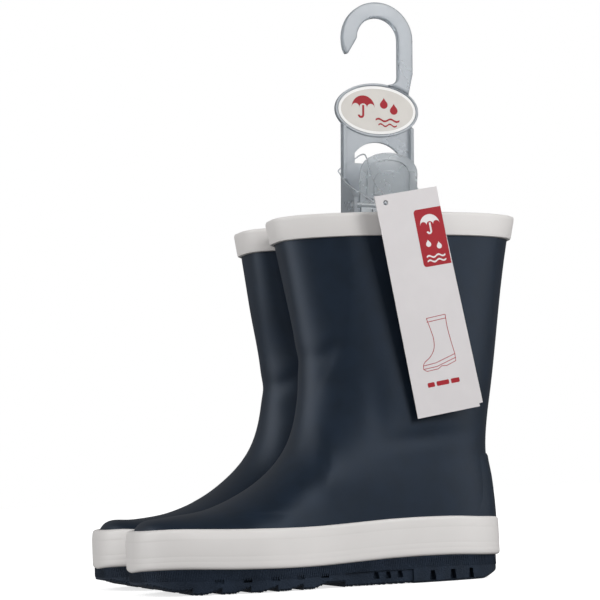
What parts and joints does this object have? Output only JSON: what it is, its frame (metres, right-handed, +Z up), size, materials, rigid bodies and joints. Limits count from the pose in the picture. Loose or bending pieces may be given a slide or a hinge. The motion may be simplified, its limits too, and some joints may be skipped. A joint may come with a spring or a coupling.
{
  "type": "pair of child's rubber deck boots on a clip hanger",
  "caption": "Pair of child's pull-on rubber deck boots with treaded soles, clipped together by the collars on a plastic hanger with a hook and a folded swing tag.",
  "frame": {"origin": "on the floor, at the middle of the pair's footprint", "axes": "+Z up, toes towards -Y, left boot at +X and right boot at -X"},
  "size_m": [0.1502, 0.2048, 0.2927],
  "materials": {
    "navy_rubber": "matte moulded rubber",
    "sole_rubber": "matte, fine-grained rubber",
    "white_rubber": "satin rubber",
    "jersey": "knitted cotton",
    "felt": "needled felt",
    "stiffener": "pressed sheet",
    "fibreboard": "pressed fibre",
    "sponge": "open sponge",
    "clear_plastic": "moulded, glossy, cloudy",
    "label_paper": "coated paper",
    "card": "coated card",
    "nylon": "clear, glossy"
  },
  "bodies": {
    "boots": {"left_outsole": "sole_rubber", "left_foxing": "white_rubber", "left_upper": "navy_rubber", "left_collar_band": "white_rubber", "left_heel_strip": "navy_rubber", "left_heel_stiffener": "stiffener", "left_toe_puff": "stiffener", "left_lining": "jersey", "left_sole_filler": "sponge", "left_insole_board": "fibreboard", "left_footbed": "felt", "right_outsole": "sole_rubber", "right_foxing": "white_rubber", "right_upper": "navy_rubber", "right_collar_band": "white_rubber", "right_heel_strip": "navy_rubber", "right_heel_stiffener": "stiffener", "right_toe_puff": "stiffener", "right_lining": "jersey", "right_sole_filler": "sponge", "right_insole_board": "fibreboard", "right_footbed": "felt"},
    "hanger": {"hanger_body": "clear_plastic", "size_label": "label_paper", "tag_loop": "nylon", "loop_lock": "nylon"},
    "jaw": {"clip_jaw": "clear_plastic"},
    "tag": {"tag_back_leaf": "card"},
    "tag_cover": {"tag_front_leaf": "card"}
  },
  "joints": [
    {"name": "hanger_lift", "type": "slide", "parent": "boots", "child": "hanger", "axis": [0, 0, 1], "range_m": [0, 0.06]},
    {"name": "jaw_pivot", "type": "hinge", "parent": "hanger", "child": "jaw", "pos_m": [0.00816, 0.04348, 0.18519], "axis": [0, -0.9991, 0.0419], "range_deg": [0, 16], "stiffness_Nm_per_rad": 0.05, "springref_deg": -11.46},
    {"name": "tag_swing", "type": "hinge", "parent": "hanger", "child": "tag", "pos_m": [0.0648, 0.02089, 0.17873], "axis": [1, 0, 0], "range_deg": [-35, 35]},
    {"name": "tag_open", "type": "hinge", "parent": "tag", "child": "tag_cover", "pos_m": [0.06524, 0.02393, 0.12858], "axis": [0, 0.1575, -0.9875], "range_deg": [0, 120]}
  ]
}
